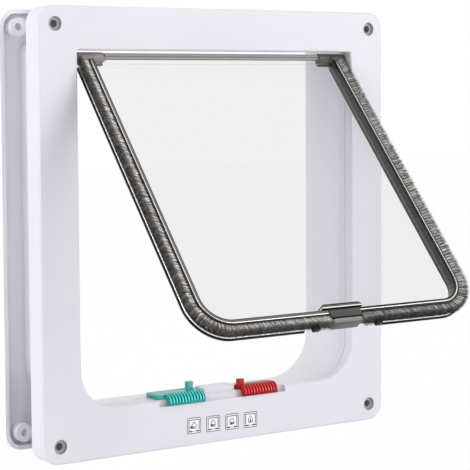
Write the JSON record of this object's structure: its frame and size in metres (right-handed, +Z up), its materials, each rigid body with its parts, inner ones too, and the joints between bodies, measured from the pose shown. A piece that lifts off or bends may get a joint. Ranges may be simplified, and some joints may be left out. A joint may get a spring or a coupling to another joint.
{
  "type": "cat flap",
  "caption": "Lockable cat flap: a clear flap in a smoked rim with a brush seal swings in a white two-part frame that clamps round a door; two sliding locks sit in the sill.",
  "frame": {"origin": "middle of the four screw holes, in the plane where the front frame's skirt meets the near face of the door", "axes": "+X across the opening, +Y in through the door, +Z up"},
  "size_m": [0.235, 0.1725, 0.25],
  "materials": {
    "white_plastic": "satin moulded",
    "inner_plastic": "plain moulded",
    "clear_plastic": "clear, polished",
    "smoked_plastic": "smoked, polished",
    "pin_steel": "drawn",
    "seal_backing": "woven strip",
    "seal_pile": "dense pile",
    "magnet": "plated",
    "green_plastic": "moulded",
    "red_plastic": "moulded",
    "spring_steel": "rolled strip",
    "print_ink": "printed"
  },
  "bodies": {
    "frame": {"front_frame": "white_plastic", "lock_retainer": "inner_plastic", "magnet_cover": "white_plastic", "sill_magnet": "magnet", "green_detent_spring": "spring_steel", "red_detent_spring": "spring_steel"},
    "rear": {"rear_frame": "white_plastic"},
    "flap": {"flap_pane": "clear_plastic", "top_rail": "smoked_plastic", "left_rim": "smoked_plastic", "right_rim": "smoked_plastic", "left_corner_piece": "smoked_plastic", "right_corner_piece": "smoked_plastic", "left_hinge_pin": "pin_steel", "right_hinge_pin": "pin_steel", "left_brush_backing": "seal_backing", "right_brush_backing": "seal_backing", "left_brush_pile": "seal_pile", "right_brush_pile": "seal_pile", "magnet_holder": "smoked_plastic", "magnet_holder_cap": "smoked_plastic", "flap_magnet": "magnet"},
    "green": {"green_lock": "green_plastic"},
    "red": {"red_lock": "red_plastic"}
  },
  "joints": [
    {"name": "flap_hinge", "type": "hinge", "parent": "frame", "child": "flap", "pos_m": [0, -0.006, 0.0975], "axis": [-1, 0, 0], "range_deg": [-121, 39]},
    {"name": "rear_slide", "type": "slide", "parent": "frame", "child": "rear", "axis": [0, 1, 0], "range_m": [0, 0.022]},
    {"name": "green_slide", "type": "slide", "parent": "frame", "child": "green", "axis": [-1, 0, 0], "range_m": [0, 0.0055]},
    {"name": "red_slide", "type": "slide", "parent": "frame", "child": "red", "axis": [1, 0, 0], "range_m": [0, 0.0055]}
  ]
}
